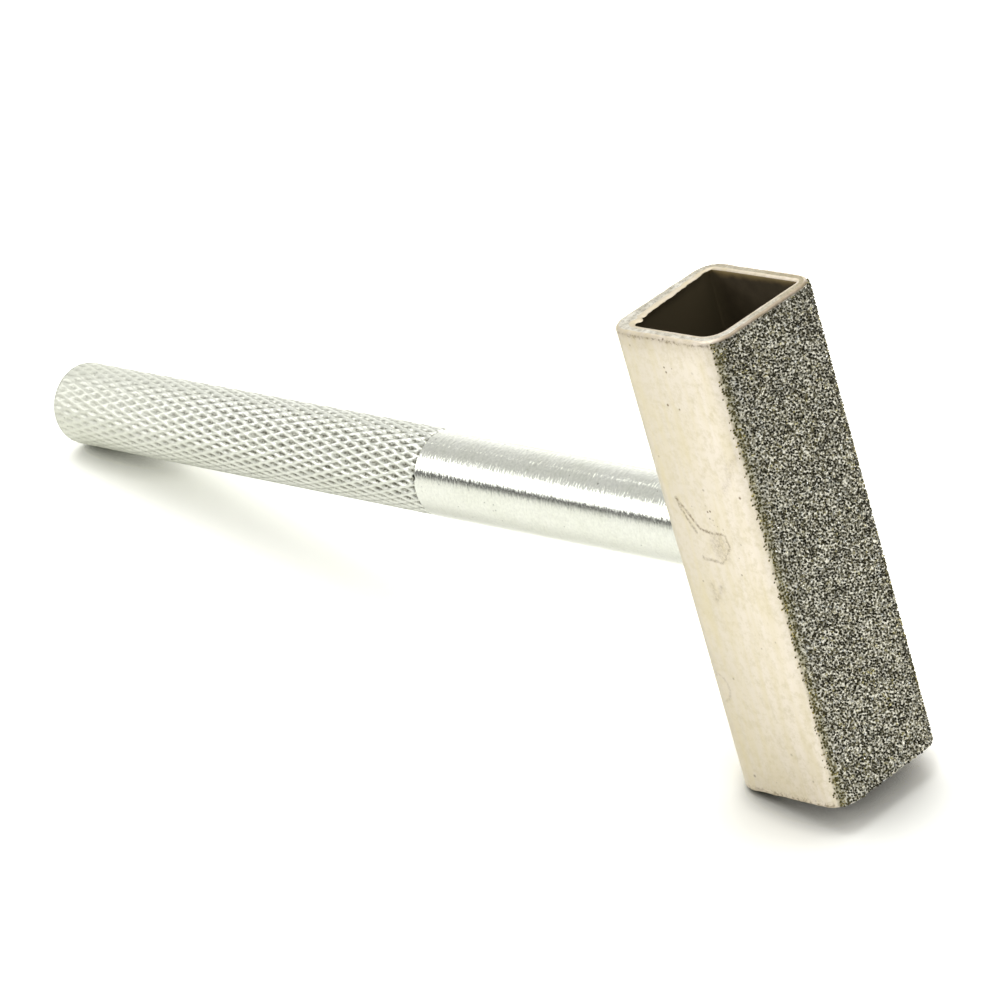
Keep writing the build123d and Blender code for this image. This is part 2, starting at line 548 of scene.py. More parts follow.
        # Dirt stays in the roughness left by the saw just below the rims, and off the cut itself
        height = node(MATH, z, operation="ABSOLUTE")
        rim = node(RANGE, height, top - 0.9, top - 0.2, interpolation_type="SMOOTHSTEP")
        grime = patches(node, point, (3.2, 4.0, 0.75), 0.46, 0.6, 0.0, 0.6)
        outside = node(RANGE, height, top - 0.3, top - 0.12, 1.0, 0.0)
        soiled = reduce(partial(node, MATH, operation="MULTIPLY"), (grime, rim, outside))
        # The edge above the grit is stained grey
        front = node(RANGE, x, 11.9, 12.7, 0.0, 0.6)
        greyed = node(MATH, front, node(RANGE, height, top - 0.5, top - 0.35), operation="MULTIPLY")
        # A darker band a few millimetres wide lies below the upper rim
        from_rim = node(MATH, cloud, 4.0, z, operation="MULTIPLY_ADD")
        band = node(RANGE, from_rim, top - 0.5, top + 2.1, 0.0, 0.16, interpolation_type="SMOOTHSTEP")
        marks = (specks, soiled, band, greyed, self.near_marks(node, point))
        dark = reduce(partial(node, MATH, operation="MAXIMUM"), marks)
        relief = node(NOISE, point, 1 / self.grain_width, 3.0)
        return {
            "Base Color": paint(
                node, "DED5C3", (node(RANGE, clouds_and_painted_light, 3.6, 14.0), "F8EEDF"), (mottle, "D3C8A8"),
                (streaks, "E2D6AE"), (dark, "684E22"),
            ),
            "Metallic": 1.0, "Roughness": node(MATH, rim, 0.22, 0.33, operation="MULTIPLY_ADD"),
            "Normal": node(BUMP, {"Height": relief, "Distance": self.relief_height * MM}),
        }


@dataclass(frozen=True)
class SawnRim(Finish):
    """Nickel plating over the tube's sawn ends.

    The saw leaves fine scratches across the wall, so the rim is duller and greyer than the sides.

    Attributes:
        scratch_pitch: Distance in millimetres between two saw marks.
        scratch_turn: Angle in degrees by which the marks are turned.
        relief_height: Height in millimetres of the marks and the lumps.
    """

    scratch_pitch: float = 0.2
    scratch_turn: float = 28.0
    relief_height: float = 0.06
    title = "Nickel plating on a saw cut"

    def shade(self, node: partial, point: bpy.types.Node) -> dict[str, object]:
        """Shade saw marks, a patchy tone and dirt.

        Args:
            node: add_node for the material's tree.
            point: Node that gives the point in tool millimetres.

        Returns:
            What goes into each socket of the Principled shader, by name.
        """
        x, y, _ = node(SPLIT, point).outputs
        lines = node("ShaderNodeMapping", point, {
            "Rotation": (0, 0, radians(self.scratch_turn)), "Scale": (1 / self.scratch_pitch, 0.4, 1),
        })
        marks, lumps = node(NOISE, lines, 1.0, 3.0), node(NOISE, point, 2.2, 3.0)
        # Towards the far front corner the cut is stained by the bath that laid the grit
        bathed = node(RANGE, node(MATH, x, 0.35, y, operation="MULTIPLY_ADD"), 2.0, 10.0, 0.0, 0.75)
        # The cut of the back wall is the dirtiest
        grime = patches(node, point, (3.0, 4.0, 0.75), 0.48, 0.66)
        dirty = node(MATH, grime, node(RANGE, x, 1.2, 2.4, 0.7, 0.45), operation="MULTIPLY")
        relief = node(MATH, marks, 0.25, lumps, operation="MULTIPLY_ADD")
        return {
            "Base Color": paint(
                node, "E8E4D8", (patches(node, point, (0.9, 4.0), 0.35, 0.65), "C6C0AF"),
                (bathed, "A8976F"), (dirty, "6B5F48"),
            ),
            "Metallic": 1.0, "Roughness": 0.38,
            "Normal": node(BUMP, {"Height": relief, "Distance": self.relief_height * MM}),
        }


@dataclass(frozen=True)
class MillScale(Finish):
    """Oiled mill scale on the inside of the tube.

    The plating does not reach in there, so the wall stays dark brown and only half shiny.

    Attributes:
        relief_height: Height in millimetres of the scale's unevenness.
    """

    relief_height: float = 0.02
    title = "Oiled mill scale on steel"

    def shade(self, node: partial, point: bpy.types.Node) -> dict[str, object]:
        """Shade a patchy dark brown.

        Args:
            node: add_node for the material's tree.
            point: Node that gives the point in tool millimetres.

        Returns:
            What goes into each socket of the Principled shader, by name.
        """
        x, y, z = node(SPLIT, point).outputs
        uneven = node(NOISE, point, 0.8, 5.0)
        # The scale on the back wall, where the handle was riveted in, is lighter
        back_wall = node(RANGE, x, 1.4, 2.6, 1.0, 0.0)
        # A little plating reaches in over the edge of the far wall and thins out in a millimetre
        height = node(MATH, z, operation="ABSOLUTE")
        reach = node(MATH, uneven, 0.7, height, operation="MULTIPLY_ADD")
        thin = node(RANGE, reach, 22.0, 22.85, 0.0, 0.8, interpolation_type="SMOOTHSTEP")
        edge = node(MATH, thin, node(RANGE, y, 4.6, 5.2), operation="MULTIPLY")
        return {
            "Base Color": paint(
                node, "4B412F", (node(RANGE, uneven, 0.3, 0.7), "5B503C"), (back_wall, "6B6048"),
                (edge, "A8905C"),
            ),
            "Metallic": 0.0, "Roughness": 0.6,
            "Normal": node(BUMP, {"Height": uneven, "Distance": self.relief_height * MM}),
        }


@dataclass(frozen=True)
class BondNickel(Finish):
    """Electroplated nickel that holds the grit.

    It is the same cream metal as on the tube's sides. Between the grains it is lumpy and lies
    partly in their shadow, so it shows as a broken net of light lines round dark grains.

    Attributes:
        relief_height: Height in millimetres of the lumps.
    """

    relief_height: float = 0.05
    title = "Lumpy electroplated nickel bond"

    def shade(self, node: partial, point: bpy.types.Node) -> dict[str, object]:
        """Shade a cream metal that turns grey and lumpy under the grit, where the grey is painted shade from
        the grains.

        Args:
            node: add_node for the material's tree.
            point: Node that gives the point in tool millimetres.

        Returns:
            What goes into each socket of the Principled shader, by name.
        """
        x = node(SPLIT, point).outputs["X"]
        lumps = node(NOISE, point, 3.6, 2.0)
        # Under the grit the bond is painted grey in lumpy patches: painted shade from the grains over it
        grey = paint(node, "5C5844", (node(RANGE, lumps, 0.4, 0.6), "F6F3E6"))
        under = node(RANGE, x, 12.0, 12.5)
        # Salts from the bath have stained the first half millimetre olive
        olive = node(MATH, node(RANGE, x, 12.3, 12.8, 0.6, 0.0), under, operation="MULTIPLY")
        return {
            "Base Color": paint(node, "F2E7D5", (under, grey), (olive, "8A8346")),
            "Metallic": 1.0, "Roughness": 0.36,
            "Normal": node(BUMP, {"Height": lumps, "Distance": self.relief_height * MM}),
        }


@dataclass(frozen=True)
class DiamondGrain(Finish):
    """Synthetic diamond grit.

    The crystals have flat faces and a very high refractive index. Some faces flash white while
    the body beside them stays dark, which gives the layer its salt-and-pepper look.

    Attributes:
        tone_name: Name of the mesh attribute that holds the tone of each facet.
        hue_name: Name of the one that holds the hue of each grain.
    """

    tone_name: str = "tone"
    hue_name: str = "hue"
    title = "Synthetic diamond grit"

    def shade(self, node: partial, point: bpy.types.Node) -> dict[str, object]:
        """Shade each facet in its own tone, with painted glints on the lightest facets, olive patches and an
        olive edge.

        Args:
            node: add_node for the material's tree.
            point: Node that gives the point in tool millimetres.

        Returns:
            What goes into each socket of the Principled shader, by name.
        """
        x = node(SPLIT, point).outputs["X"]
        tone = node("ShaderNodeAttribute", attribute_name=self.tone_name).outputs["Fac"]
        hue = node("ShaderNodeAttribute", attribute_name=self.hue_name).outputs["Fac"]
        # The light end of the ramp is painted glints: light facets stand in for light that comes back out of
        # the crystals
        tone_and_painted_glints = set_stops(
            node("ShaderNodeValToRGB", tone), (0.0, "0A0905"), (0.40, "26241A"), (0.62, "575445"),
            (0.76, "AAA797"), (0.83, "FFFEF6"), (1.0, "FFFFFF"),
        )
        # Most grains are grey and some are yellow-green, more of them in some places than in others
        uneven = node(NOISE, point, 0.5, 3.0)
        leaning = node(RANGE, node(MATH, uneven, 2.2, hue, operation="MULTIPLY_ADD"), 0.7, 2.5)
        cast = set_stops(
            node("ShaderNodeValToRGB", leaning), (0.15, "CFC898"), (0.34, "EBE6D0"), (0.62, "F4F2EA"),
            (0.8, "DCDFE0"),
        )
        # Along the edge the grains are thin and show the stained plating below them
        edge = node(RANGE, node(MATH, uneven, x, operation="ADD"), 12.7, 13.45, 0.85, 0.0)
        thin = node(MATH, edge, 0.72, operation="MULTIPLY")
        dyed = paint(node, cast, (edge, "C8B24E"))
        body = node(MIX, 1.0, tone_and_painted_glints, dyed, data_type="RGBA", blend_type="MULTIPLY")
        # The lightest facets send all their light back, as a mirror does. Diamond's own index of
        # 2.42 makes every dark facet too light, because real facets mostly let the light into the
        # crystal and the dark bond behind it.
        return {
            "Base Color": paint(node, body, (thin, "746E34")), "Metallic": node(RANGE, tone, 0.82, 0.87),
            "IOR": 1.6, "Specular Tint": "E6DDB4", "Roughness": 0.12,
        }


def place(name: str, data: bpy.types.ID) -> bpy.types.Object:
    """Put a mesh, lamp or camera into the scene as an object at the origin.

    Args:
        name: The object's name.
        data: What it holds.

    Returns:
        The new object.
    """
    made = bpy.data.objects.new(name, data)
    bpy.context.scene.collection.objects.link(made)
    return made


def evaluated_mesh(carrier: bpy.types.Object, name: str) -> bpy.types.Mesh:
    """Turn what an object's modifiers make into a plain mesh, and remove the object.

    Args:
        carrier: The object with its modifiers.
        name: Name of the new mesh.

    Returns:
        The plain mesh.
    """
    graph = bpy.context.evaluated_depsgraph_get()
    mesh = bpy.data.meshes.new_from_object(carrier.evaluated_get(graph), depsgraph=graph)
    mesh.name = name
    carrier.modifiers.clear()
    bpy.data.objects.remove(carrier)
    return mesh


def run_tree(
    mesh: bpy.types.Mesh, name: str, fill: Callable[..., bpy.types.Node], values: dict[str, object]
) -> bpy.types.Mesh:
    """Build a Geometry Nodes tree and run it on a mesh.

    Args:
        mesh: The mesh that the tree starts from.
        name: Name of the tree and of what it makes.
        fill: Method that adds the nodes, given add_node for the tree and the tree's inputs, and
            that returns the last one.
        values: Value of each of the tree's named inputs.

    Returns:
        The plain mesh that the tree makes.
    """
    tree = bpy.data.node_groups.new(name, "GeometryNodeTree")
    for way in ("INPUT", "OUTPUT"):
        tree.interface.new_socket("Geometry", in_out=way, socket_type="NodeSocketGeometry")
    for label, value in values.items():
        tree.interface.new_socket(label, in_out="INPUT", socket_type=SOCKET_TYPES[type(value)])
    node = partial(add_node, tree)
    node("NodeGroupOutput", fill(node, tree.nodes.new("NodeGroupInput").outputs))
    carrier = place(name + "_carrier", mesh)
    modifier = carrier.modifiers.new(name, "NODES")
    modifier.node_group = tree
    for item in tree.interface.items_tree:
        if item.name in values:
            modifier[item.identifier] = values[item.name]
    return evaluated_mesh(carrier, name)


def bridge(mesh: bmesh.types.BMesh, ring: list, following: list, material: int = 0) -> None:
    """Join two closed rings of points by smooth faces.

    Args:
        mesh: The shape that they belong to.
        ring: The first ring's points.
        following: The second ring's.
        material: Index of the faces' finish.
    """
    for i, corner in enumerate(ring):
        j = (i + 1) % len(ring)
        face = mesh.faces.new((corner, ring[j], following[j], following[i]))
        face.material_index = material
        face.smooth = True


def write_mesh(shape: bmesh.types.BMesh, data: bpy.types.Mesh, *finishes: bpy.types.Material) -> None:
    """Write a shape into a mesh, with its faces outwards, and free it.

    Args:
        shape: The shape.
        data: The mesh that takes it.
        finishes: Its materials.
    """
    bmesh.ops.recalc_face_normals(shape, faces=shape.faces)
    data.materials.clear()
    for finish in finishes:
        data.materials.append(finish)
    shape.to_mesh(data)
    shape.free()


class Part(Enum):
    """CAD nodes of the tool, by name."""

    HANDLE = "handle"
    TUBE = "head_tube"
    LAYER = "diamond_layer"


def declare(piece: bpy.types.Object, part: Part) -> None:
    """Say what a piece rides on and what it stands for, and report it.

    Args:
        piece: The finished piece.
        part: The CAD node that it replaces.
    """
    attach(piece, BODY)
    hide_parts(part.value)
    triangles = sum(len(face.vertices) - 2 for face in piece.data.polygons)
    report.info("%s: %d triangles, stands for %s", piece.name, triangles, part.value)


@dataclass
class KnurledHandle:
    """The turned rod: knurled grip, smooth shank, and the tenon riveted into the tube.

    Attributes:
        tool: The tool's frame. Sizes are in millimetres where nothing else is said.
        rod_radius: Radius of the shank.
        crest_radius: Radius over the knurl's ridges.
        pit_depth: Depth of the pits between them.
        starts: Number of ridges round the rod, each way.
        helix: Angle in degrees between a ridge and the rod.
        land: Share of a diamond's half width that is ridge.
        lower_ridge: Share of the depth by which the second roll's ridges lie lower.
        shank_length: Length of the smooth shank.
        grip_length: Length of the knurled grip.
        end_round: Radius of the rounding at the far end.
        bevel: Width of the bevel at the shank's end.
        tenon_radius: Radius of the tenon.
        wall: Thickness of the wall that the tenon goes through.
        peen_radius: Radius of the tenon's peened head.
        peen_rim: Height of that head's edge.
        peen_height: Height of its middle.
        cell_divisions: Number of faces along each side of a pit.
        unevenness: Most by which rolled ridges lie too low.
        wear: Share of the pits' depth that is lost at the far end.
        pit_power: Power of the rise from a pit to its ridges, where 1 would be flat.
        seed: Seed of the unevenness.
        weld: Distance below which the points of two pits are one.
        shank_rings: Number of rings along the shank.
        round_rings: Number of rings on the rounded end.
        dome_rings: Number of rings on the peened head.
    """

    tool: ToolFrame
    rod_radius: float = 4.0
    crest_radius: float = 3.97
    pit_depth: float = 0.29
    starts: int = 30
    helix: float = 17.5
    land: float = 0.18
    lower_ridge: float = 0.10
    shank_length: float = 35.5
    grip_length: float = 52.5
    end_round: float = 0.9
    bevel: float = 0.25
    tenon_radius: float = 2.5
    wall: float = 1.2
    peen_radius: float = 3.6
    peen_rim: float = 0.3
    peen_height: float = 1.0
    cell_divisions: int = 6
    unevenness: float = 0.018
    wear: float = 0.50
    pit_power: float = 1.5
    seed: int = 7
    weld: float = 0.004
    shank_rings: int = 24
    round_rings: int = 7
    dome_rings: int = 10

    @property
    def rows(self) -> int:
        """Number of half diamonds along the grip."""
        diamond = 2 * pi * self.crest_radius / self.starts / tan(radians(self.helix))
        return round(2 * self.grip_length / diamond)

    @property
    def far(self) -> float:
        """Place of the handle's far end along the tool."""
        return -self.shank_length - self.grip_length

    def knurl_tree(self, node: partial, size: bpy.types.NodeOutputs) -> bpy.types.Node:
        """Set one curved pit on every diamond of the knurl, in millimetres round the X axis.

        Args:
            node: add_node for the tree.
            size: The tree's inputs.

        Returns:
            The tree's last node.
        """
        half_turn = node(MATH, pi, size["Starts"], operation="DIVIDE")
        back = node(MATH, size["Row Length"], -1.0, operation="MULTIPLY")

        # One diamond with its pit, drawn as a square and wrapped round the rod. The sine crowds
        # its points towards the ridges.
        corners = node(MATH, size["Cell Divisions"], 1.0, operation="ADD")
        square = node("GeometryNodeMeshGrid", 1.0, 1.0, corners, corners)
        drawn = node(VECTOR, node("GeometryNodeInputPosition"), pi, operation="SCALE")
        crowded = node(VECTOR, drawn, operation="SINE")
        u, v, _ = node(SPLIT, node(VECTOR, crowded, 0.5, operation="SCALE")).outputs
        inside = node(MATH, 1.0, size["Ridge Land"], operation="SUBTRACT")
        wide = node(MATH, 1.0, inside, operation="DIVIDE")
        reach = node(VECTOR, node(VECTOR, crowded, operation="ABSOLUTE"), wide, operation="SCALE")
        capped = node(VECTOR, reach, (1, 1, 1), operation="MINIMUM")
        curved = node(VECTOR, capped, (self.pit_power,) * 3, operation="POWER")
        first, second, _ = node(SPLIT, node(VECTOR, (1, 1, 1), curved, operation="SUBTRACT")).outputs
        # The second roll presses its ridges a little lower than those of the first
        lower = node(MATH, second, size["Lower Ridge"], operation="ADD")
        sunk = node(MATH, first, lower, operation="MINIMUM")
        depth = node(MATH, sunk, size["Pit Depth"], operation="MULTIPLY")
        radius = node(MATH, size["Crest Radius"], depth, operation="SUBTRACT")
        along = node(MATH, node(MATH, u, v, operation="ADD"), back, operation="MULTIPLY")
        angle = node(MATH, node(MATH, u, v, operation="SUBTRACT"), half_turn, operation="MULTIPLY")
        flat = node(JOIN, along, radius)
        wrapped = node("ShaderNodeVectorRotate", flat, {"Angle": angle}, rotation_type="X_AXIS")
        cell = node(MOVE, square, {"Position": wrapped})

        # Pits of a row stand two steps apart, and each row is turned by one step
        rows = node(MATH, size["Rows"], 1.0, operation="ADD")
        count = node(MATH, rows, size["Starts"], operation="MULTIPLY")
        index = node("GeometryNodeInputIndex")
        turns = node(MATH, node(MATH, index, 0.5, operation="ADD"), size["Starts"], operation="DIVIDE")
        this_row = node(MATH, turns, operation="FLOOR")
        before = node(MATH, this_row, size["Starts"], operation="MULTIPLY")
        within = node(MATH, index, before, operation="SUBTRACT")
        even = node(MATH, 1.0, node(MATH, this_row, 2.0, operation="MODULO"), operation="SUBTRACT")
        steps = node(MATH, within, 2.0, even, operation="MULTIPLY_ADD")
        down = node(MATH, this_row, back, operation="MULTIPLY")
        points = node("GeometryNodePoints", count, node(JOIN, down))
        turned = node(JOIN, node(MATH, steps, half_turn, operation="MULTIPLY"))
        pits = node("GeometryNodeInstanceOnPoints", points, {"Instance": cell, "Rotation": turned})
        real = node("GeometryNodeRealizeInstances", pits)
        merged = node("GeometryNodeMergeByDistance", real, {"Distance": size["Weld"]})

        # Rolled ridges are not all alike, and the pits grow shallower towards the far end
        at = node("GeometryNodeInputPosition")
        now = node(VECTOR, node(VECTOR, at, (0, 1, 1), operation="MULTIPLY"), operation="LENGTH")
        length = node(MATH, size["Rows"], size["Row Length"], operation="MULTIPLY")
        share = node(MATH, node(SPLIT, at).outputs["X"], length, operation="DIVIDE")
        squared = node(MATH, share, share, operation="MULTIPLY")
        worn = node(MATH, squared, size["Wear"], operation="MULTIPLY")
        kept = node(MATH, 1.0, worn, operation="SUBTRACT")
        below = node(MATH, size["Crest Radius"], now, operation="SUBTRACT")
        shallow = node(MATH, below, kept, operation="MULTIPLY")
        level = node(MATH, size["Crest Radius"], shallow, operation="SUBTRACT")
        uneven = node(NOISE, at, size["Seed"], 1.1, 2.0, noise_dimensions="4D")
        rough = node(MATH, uneven, size["Unevenness"], operation="MULTIPLY")
        lowered = node(MATH, level, rough, operation="SUBTRACT")
        wanted = node(MATH, lowered, size["Crest Radius"], operation="MINIMUM")
        factor = node(MATH, wanted, now, operation="DIVIDE")
        moved = node(VECTOR, at, node(JOIN, 1.0, factor, factor), operation="MULTIPLY")
        shaped = node(MOVE, merged, {"Position": moved})
        soft = node(SMOOTH, shaped, {"Shade Smooth": True})
        return node(DRESS, soft, {"Material": size["Material"]})

    def front_profile(self) -> list[tuple[float, float, bool]]:
        """Profile of the shank, tenon and peened head, from the knurl forwards.

        Returns:
            Place along the tool, radius, and whether the ring is a hard edge.
        """
        start = -self.shank_length
        dome_height = self.peen_height - self.peen_rim
        dome_radius = (self.peen_radius**2 + dome_height**2) / (2 * dome_height)
        top = self.wall + self.peen_height
        shank = [
            (start, self.rod_radius - self.bevel, True), (start + self.bevel, self.rod_radius, True),
            (start + 2 * self.bevel, self.rod_radius, False),
        ]
        shank += [
            (start * (1 - i / self.shank_rings), self.rod_radius, False) for i in range(1, self.shank_rings)
        ]
        tenon = [
            (0.0, self.rod_radius), (0.0, self.tenon_radius), (self.wall, self.tenon_radius),
            (self.wall, self.peen_radius), (self.wall + self.peen_rim, self.peen_radius),
        ]
        full = asin(self.peen_radius / dome_radius)
        arc = [full * i / self.dome_rings for i in range(self.dome_rings - 1, 0, -1)]
        dome = [(top - dome_radius * (1 - cos(a)), dome_radius * sin(a), False) for a in arc]
        return shank + [(x, radius, True) for x, radius in tenon] + dome

    def far_profile(self, from_angle: float) -> list[tuple[float, float, bool]]:
        """Profile of the rounded far end, from where the pits run out.

        Args:
            from_angle: Angle in radians on the rounding where it starts.

        Returns:
            Place along the tool, radius, and whether the ring is a hard edge.
        """
        centre = self.crest_radius - self.end_round
        steps = self.round_rings
        arc = [from_angle + (pi / 2 - from_angle) * i / steps for i in range(1, steps + 1)]
        profile = [
            (self.far + self.end_round * (1 - sin(a)), centre + self.end_round * cos(a), False) for a in arc
        ]
        return profile + [(self.far, centre * share, False) for share in (0.75, 0.5, 0.25)]

    def close(
        self, mesh: bmesh.types.BMesh, plane: float, profile: list[tuple[float, float, bool]], tip_x: float
    ) -> None:
        """Carry the open rim at one end of the band along a profile, and close it with a cap.

        Args:
            mesh: The band.
            plane: Place of the rim along the tool.
            profile: Place, radius and hard edge of each ring.
            tip_x: Place of the cap's middle.
        """
        rim = [
            e for e in mesh.edges
            if e.is_boundary and all(abs(v.co.x - plane) < 0.01 for v in e.verts)
        ]
        for x, radius, hard in profile:
            made = bmesh.ops.extrude_edge_only(mesh, edges=rim)["geom"]
            rim = [e for e in made if isinstance(e, bmesh.types.BMEdge) and e.is_boundary]
            for vertex in {v for e in rim for v in e.verts}:
                size = hypot(vertex.co.y, vertex.co.z)
                vertex.co = (x, vertex.co.y * radius / size, vertex.co.z * radius / size)
            for edge in rim:
                edge.smooth = not hard
        tip = mesh.verts.new((tip_x, 0, 0))
        for edge in rim:
            mesh.faces.new((*edge.verts, tip))

    def round_off(self, mesh: bmesh.types.BMesh) -> None:
        """Turn the far end of the knurled band down to the rounding.

        Args:
            mesh: The band.
        """
        for vertex in mesh.verts:
            past = self.far + self.end_round - vertex.co.x
            if past > 0:
                drop = sqrt(max(0.0, self.end_round**2 - past**2))
                limit = self.crest_radius - self.end_round + drop
                size = hypot(vertex.co.y, vertex.co.z)
                if size > limit:
                    vertex.co.y *= limit / size
                    vertex.co.z *= limit / size

    def build(self, material: bpy.types.Material) -> bpy.types.Object:
        """Build the handle as one closed mesh.

        Args:
            material: Its finish.

        Returns:
            The handle's object.
        """
        data = run_tree(bpy.data.meshes.new("knurl_start"), "Diamond knurl", self.knurl_tree, {
            "Starts": self.starts, "Rows": self.rows, "Row Length": self.grip_length / self.rows,
            "Crest Radius": self.crest_radius, "Pit Depth": self.pit_depth, "Ridge Land": self.land,
            "Cell Divisions": self.cell_divisions, "Unevenness": self.unevenness, "Wear": self.wear,
            "Lower Ridge": self.lower_ridge, "Weld": self.weld, "Seed": self.seed, "Material": material,
        })
        mesh = bmesh.new()
        mesh.from_mesh(data)
        bmesh.ops.translate(mesh, verts=mesh.verts, vec=(-self.shank_length, 0, 0))
        runout = acos(1 - self.pit_depth / self.end_round)
        last = self.far + self.end_round * (1 - sin(runout))
        for plane, outwards in ((-self.shank_length, 1), (last, -1)):
            bmesh.ops.bisect_plane(
                mesh, geom=[*mesh.verts, *mesh.edges, *mesh.faces], dist=0.002, clear_outer=True,
                plane_co=(plane, 0, 0), plane_no=(outwards, 0, 0),
            )
        self.round_off(mesh)
        self.close(mesh, -self.shank_length, self.front_profile(), self.wall + self.peen_height)
        self.close(mesh, last, self.far_profile(runout), self.far)
        for face in mesh.faces:
            face.smooth = True
            face.material_index = 0
        write_mesh(mesh, data, material)
        return self.tool.lay("handle_knurled", data)


@dataclass
class SquareTube:
    """The head: a sawn length of square tube with the hole for the handle's tenon.

    Attributes:
        tool: The tool's frame. Sizes are in millimetres.
        side: Width of the tube.
        wall: Thickness of its wall.
        corner: Outside radius of its corners.
        length: Length of the tube.
        rim_round: Radius to which the rims are rounded outside.
        bore_corners: Radius of the bore's corners: near front, far front, far back and near back.
        lip_depth: Depth of the lip below the rim.
        burr_far: Width of the saw's burr on the back wall, at its far end.
        burr_near: Its width at the near end.
        burr_end: Place along the tool where it has run out.
        burr_ragged: Heights of its coarse and its fine raggedness.
        rim_uneven: Depths of the coarse and the fine unevenness of the cut.
        curl: Height and place across the tool of one curl of it.
        hole_radius: Radius of the hole for the tenon.
        side_segments: Number of faces along each side.
        corner_segments: Number of faces round each corner.
        rim_segments: Number of faces over the rim's rounding.
    """

    tool: ToolFrame
    side: float = 13.0
    wall: float = 1.2
    corner: float = 2.2
    length: float = 45.0
    rim_round: float = 0.36
    bore_corners: tuple[float, float, float, float] = (1.7, 0.35, 0.25, 0.7)
    lip_depth: float = 0.45
    burr_far: float = 0.2
    burr_near: float = 0.95
    burr_end: float = 3.4
    burr_ragged: tuple[float, float] = (0.16, 0.07)
    rim_uneven: tuple[float, float] = (0.09, 0.05)
    curl: tuple[float, float] = (0.38, -4.35)
    hole_radius: float = 2.55
    side_segments: int = 44
    corner_segments: int = 10
    rim_segments: int = 6

    def outline(self, grow: float, corners: tuple[float, ...]) -> list[tuple[float, float]]:
        """Outline across the tube, offset from its outside.

        Args:
            grow: Offset outwards, or inwards where it is negative.
            corners: Radius of each corner, in the order of bore_corners.

        Returns:
            Points in X and Y, anticlockwise from the front wall.
        """
        middle = self.side / 2
        angles = [pi / 2 * (i / self.corner_segments - 1) for i in range(self.corner_segments + 1)]
        arcs = []
        for quarter, radius in enumerate(corners):
            reach = middle + grow - radius
            turn = Matrix.Rotation(quarter * pi / 2, 2)
            arcs.append([turn @ Vector((reach + radius * cos(a), -reach + radius * sin(a))) for a in angles])
        points = []
        for arc, following in zip(arcs, arcs[1:] + arcs[:1]):
            points += arc[:-1]
            points += [arc[-1].lerp(following[0], i / self.side_segments) for i in range(self.side_segments)]
        return [(middle + p.x, p.y) for p in points]

    def lip(self, x: float, y: float) -> tuple[float, float]:
        """Move a point of the bore's edge to the rim, where the saw left a burr on the back wall.

        Args:
            x: The point's place along the tool.
            y: Its place across the tool.

        Returns:
            The two places at the rim.
        """
        half = self.side / 2 - self.wall
        share = max(0.0, (half - y) / (2 * half))
        lean = self.burr_far + (self.burr_near - self.burr_far) * share**1.3
        coarse, fine = self.burr_ragged
        ragged = coarse * noise(Vector((x, y, 5.0)) * 1.7) + fine * noise(Vector((x, y, 9.0)) * 6.0)
        at_back = smooth_step(self.burr_end, self.wall, x)
        # One curl of it stands out beside the near corner
        height, middle = self.curl
        ragged += height * smooth_step(0.45, 0.1, abs(y - middle))
        return x + (lean + ragged) * at_back, y * (1 - 0.01 * at_back)

    def profile(self) -> list[tuple[float, float, float, int]]:
        """Closed profile of the wall, from the outside at the middle over the top and back.

        Returns:
            Share of the way through the wall, share of the way from the bore to its burred edge,
            height, and index of the finish of the face after each point.
        """
        top, steps = self.length / 2, self.rim_segments
        half = [(0.0, 0.0, z * top, 0) for z in (0.0, 0.2, 0.4, 0.6, 0.8, 0.93, 0.975)]
        for i in range(steps + 1):
            angle = pi / 2 * i / steps
            across = self.rim_round * (1 - cos(angle)) / self.wall
            half.append((across, 0.0, top - self.rim_round * (1 - sin(angle)), 1 if i == steps else 0))
        half += [(share, 1.0, top, 1) for share in (0.45, 0.58)]
        half += [(0.7, 1.0, top, 0), (0.93, 1.0, top - 0.05, 0), (1.0, 1.0, top - 0.14, 2)]
        half += [(1.0, 0.35, top - self.lip_depth, 2)]
        half += [(1.0, 0.0, z * top, 2) for z in (0.95, 0.7, 0.35, 0.0)]
        # The lower half is the upper one upside down, so its faces take their finishes backwards
        finishes = [finish for *_, finish in half[-2::-1]]
        mirrored = [half[-1]] + [(s, t, -z, 0) for s, t, z, _ in half[-2:0:-1]]
        return half[:-1] + [(*point, finish) for (*point, _), finish in zip(mirrored, finishes)]

    def shell(self, materials: list[bpy.types.Material]) -> bpy.types.Mesh:
        """Make the tube without its hole.

        Args:
            materials: Finish of the outside, of the sawn rims and of the inside.

        Returns:
            The closed mesh in tool millimetres.
        """
        mesh = bmesh.new()
        profile = self.profile()
        top = self.length / 2
        outside = self.outline(0.0, (self.corner,) * 4)
        bore = self.outline(-self.wall, self.bore_corners)
        coarse, fine = self.rim_uneven
        rings = []
        for through, burred, z, _ in profile:
            ring = []
            for (x, y), (bore_x, bore_y) in zip(outside, bore):
                lip_x, lip_y = self.lip(bore_x, bore_y)
                edge = Vector((bore_x + (lip_x - bore_x) * burred, bore_y + (lip_y - bore_y) * burred))
                spot = Vector((x, y)).lerp(edge, through).to_3d()
                spot.z = z
                near_rim = smooth_step(top - 0.9, top, abs(z)) * smooth_step(1.2, 0.2, through)
                uneven = coarse * abs(noise(spot * 0.9)) + fine * abs(noise(spot * 2.9))
                spot.z -= near_rim * uneven * (1 if z > 0 else -1)
                ring.append(mesh.verts.new(spot))
            rings.append(ring)
        for ring, following, (*_, finish) in zip(rings, rings[1:] + rings[:1], profile):
            bridge(mesh, ring, following, finish)
        data = bpy.data.meshes.new("tube_shell")
        write_mesh(mesh, data, *materials)
        return data

